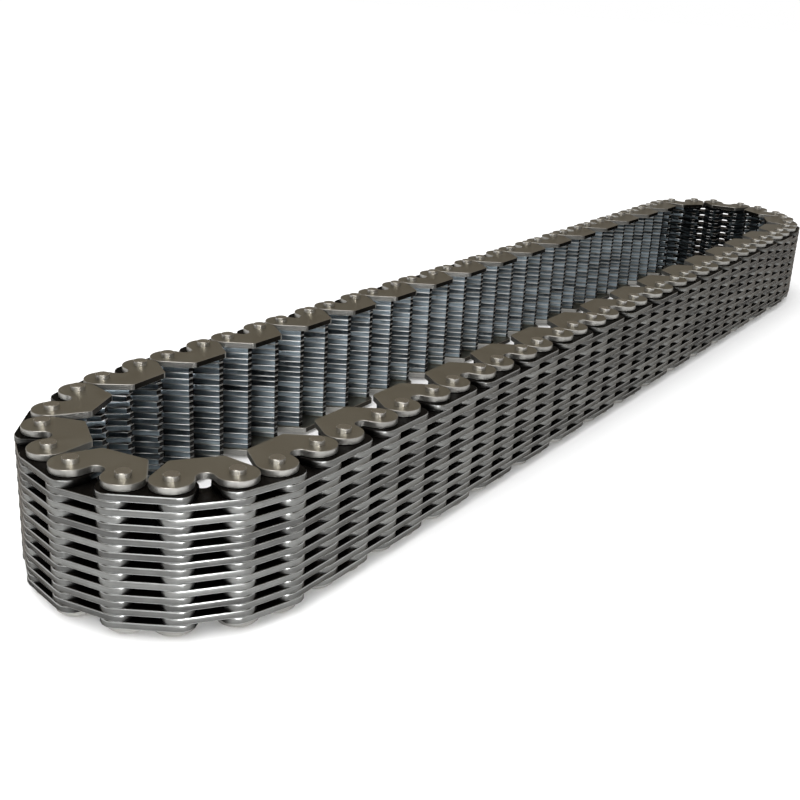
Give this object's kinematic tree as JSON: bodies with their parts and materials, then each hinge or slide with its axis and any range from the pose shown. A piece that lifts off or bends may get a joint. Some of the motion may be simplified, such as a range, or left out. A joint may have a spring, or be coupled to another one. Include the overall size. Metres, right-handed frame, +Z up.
{
  "type": "silent chain",
  "caption": "Endless silent chain of toothed link plates on paired rocker pins, with guide plates along both sides, lying on its side as a long oval loop.",
  "frame": {"origin": "centre of the loop, on the plane that its lower pin ends stand on", "axes": "+X along the straight strands towards the far end, +Y across the loop towards the far strand, +Z up along the pins"},
  "size_m": [0.422, 0.0764, 0.0347],
  "materials": {
    "guide_steel": "satin",
    "plate_steel": "satin",
    "pin_steel": "polished"
  },
  "bodies": {
    "section_01": {"guide_plates_01": "guide_steel", "link_plates_01": "plate_steel", "pins_01": "pin_steel"},
    "section_02": {"guide_plates_02": "guide_steel", "link_plates_02": "plate_steel", "pins_02": "pin_steel"},
    "section_03": {"guide_plates_03": "guide_steel", "link_plates_03": "plate_steel", "pins_03": "pin_steel"},
    "section_04": {"guide_plates_04": "guide_steel", "link_plates_04": "plate_steel", "pins_04": "pin_steel"},
    "section_05": {"guide_plates_05": "guide_steel", "link_plates_05": "plate_steel", "pins_05": "pin_steel"},
    "section_06": {"guide_plates_06": "guide_steel", "link_plates_06": "plate_steel", "pins_06": "pin_steel"},
    "section_07": {"guide_plates_07": "guide_steel", "link_plates_07": "plate_steel", "pins_07": "pin_steel"},
    "section_08": {"guide_plates_08": "guide_steel", "link_plates_08": "plate_steel", "pins_08": "pin_steel"},
    "section_09": {"guide_plates_09": "guide_steel", "link_plates_09": "plate_steel", "pins_09": "pin_steel"},
    "section_10": {"guide_plates_10": "guide_steel", "link_plates_10": "plate_steel", "pins_10": "pin_steel"},
    "section_11": {"guide_plates_11": "guide_steel", "link_plates_11": "plate_steel", "pins_11": "pin_steel"},
    "section_12": {"guide_plates_12": "guide_steel", "link_plates_12": "plate_steel", "pins_12": "pin_steel"},
    "section_13": {"guide_plates_13": "guide_steel", "link_plates_13": "plate_steel", "pins_13": "pin_steel"},
    "section_14": {"guide_plates_14": "guide_steel", "link_plates_14": "plate_steel", "pins_14": "pin_steel"},
    "section_15": {"guide_plates_15": "guide_steel", "link_plates_15": "plate_steel", "pins_15": "pin_steel"},
    "section_16": {"guide_plates_16": "guide_steel", "link_plates_16": "plate_steel", "pins_16": "pin_steel"},
    "section_17": {"guide_plates_17": "guide_steel", "link_plates_17": "plate_steel", "pins_17": "pin_steel"},
    "section_18": {"guide_plates_18": "guide_steel", "link_plates_18": "plate_steel", "pins_18": "pin_steel"},
    "section_19": {"guide_plates_19": "guide_steel", "link_plates_19": "plate_steel", "pins_19": "pin_steel"},
    "section_20": {"guide_plates_20": "guide_steel", "link_plates_20": "plate_steel", "pins_20": "pin_steel"}
  },
  "joints": [
    {"name": "hinge_07", "type": "hinge", "parent": "section_06", "child": "section_07", "pos_m": [-0.022, -0.03231, 0.01735], "axis": [0, 0, 1], "range_deg": [-10, 10]},
    {"name": "hinge_08", "type": "hinge", "parent": "section_07", "child": "section_08", "pos_m": [0.02245, -0.03231, 0.01735], "axis": [0, 0, 1], "range_deg": [-10, 10]},
    {"name": "hinge_09", "type": "hinge", "parent": "section_08", "child": "section_09", "pos_m": [0.0669, -0.03231, 0.01735], "axis": [0, 0, 1], "range_deg": [-10, 10]},
    {"name": "hinge_10", "type": "hinge", "parent": "section_09", "child": "section_10", "pos_m": [0.11135, -0.03231, 0.01735], "axis": [0, 0, 1], "range_deg": [-10, 10]},
    {"name": "hinge_11", "type": "hinge", "parent": "section_10", "child": "section_11", "pos_m": [0.1558, -0.03231, 0.01735], "axis": [0, 0, 1], "range_deg": [-10, 10]},
    {"name": "hinge_12", "type": "hinge", "parent": "section_11", "child": "section_12", "pos_m": [0.19652, -0.01755, 0.01735], "axis": [0, 0, 1], "range_deg": [-10, 10]},
    {"name": "hinge_13", "type": "hinge", "parent": "section_12", "child": "section_13", "pos_m": [0.19736, 0.02296, 0.01735], "axis": [0, 0, 1], "range_deg": [-10, 10]},
    {"name": "hinge_14", "type": "hinge", "parent": "section_13", "child": "section_14", "pos_m": [0.15535, 0.03231, 0.01735], "axis": [0, 0, 1], "range_deg": [-10, 10]},
    {"name": "hinge_15", "type": "hinge", "parent": "section_14", "child": "section_15", "pos_m": [0.1109, 0.03231, 0.01735], "axis": [0, 0, 1], "range_deg": [-10, 10]},
    {"name": "hinge_06", "type": "hinge", "parent": "section_06", "child": "section_05", "pos_m": [-0.06645, -0.03231, 0.01735], "axis": [0, 0, 1], "range_deg": [-10, 10]},
    {"name": "hinge_05", "type": "hinge", "parent": "section_05", "child": "section_04", "pos_m": [-0.1109, -0.03231, 0.01735], "axis": [0, 0, 1], "range_deg": [-10, 10]},
    {"name": "hinge_04", "type": "hinge", "parent": "section_04", "child": "section_03", "pos_m": [-0.15535, -0.03231, 0.01735], "axis": [0, 0, 1], "range_deg": [-10, 10]},
    {"name": "hinge_03", "type": "hinge", "parent": "section_03", "child": "section_02", "pos_m": [-0.19736, -0.02296, 0.01735], "axis": [0, 0, 1], "range_deg": [-10, 10]},
    {"name": "hinge_02", "type": "hinge", "parent": "section_02", "child": "section_01", "pos_m": [-0.19652, 0.01755, 0.01735], "axis": [0, 0, 1], "range_deg": [-10, 10]},
    {"name": "hinge_01", "type": "hinge", "parent": "section_01", "child": "section_20", "pos_m": [-0.1558, 0.03231, 0.01735], "axis": [0, 0, 1], "range_deg": [-10, 10]},
    {"name": "hinge_20", "type": "hinge", "parent": "section_20", "child": "section_19", "pos_m": [-0.11135, 0.03231, 0.01735], "axis": [0, 0, 1], "range_deg": [-10, 10]},
    {"name": "hinge_19", "type": "hinge", "parent": "section_19", "child": "section_18", "pos_m": [-0.0669, 0.03231, 0.01735], "axis": [0, 0, 1], "range_deg": [-10, 10]},
    {"name": "hinge_18", "type": "hinge", "parent": "section_18", "child": "section_17", "pos_m": [-0.02245, 0.03231, 0.01735], "axis": [0, 0, 1], "range_deg": [-10, 10]},
    {"name": "hinge_17", "type": "hinge", "parent": "section_17", "child": "section_16", "pos_m": [0.022, 0.03231, 0.01735], "axis": [0, 0, 1], "range_deg": [-10, 10]}
  ],
  "couplings": [
    {"joint": "hinge_08", "follows": "hinge_07", "ratio": -1},
    {"joint": "hinge_18", "follows": "hinge_07", "ratio": 1},
    {"joint": "hinge_17", "follows": "hinge_07", "ratio": -1},
    {"joint": "hinge_10", "follows": "hinge_09", "ratio": -1},
    {"joint": "hinge_20", "follows": "hinge_09", "ratio": 1},
    {"joint": "hinge_19", "follows": "hinge_09", "ratio": -1},
    {"joint": "hinge_11", "follows": "hinge_02", "ratio": 1},
    {"joint": "hinge_12", "follows": "hinge_02", "ratio": -1},
    {"joint": "hinge_01", "follows": "hinge_02", "ratio": -1},
    {"joint": "hinge_13", "follows": "hinge_04", "ratio": 1},
    {"joint": "hinge_14", "follows": "hinge_04", "ratio": -1},
    {"joint": "hinge_03", "follows": "hinge_04", "ratio": -1},
    {"joint": "hinge_15", "follows": "hinge_06", "ratio": 1},
    {"joint": "hinge_05", "follows": "hinge_06", "ratio": -1}
  ]
}
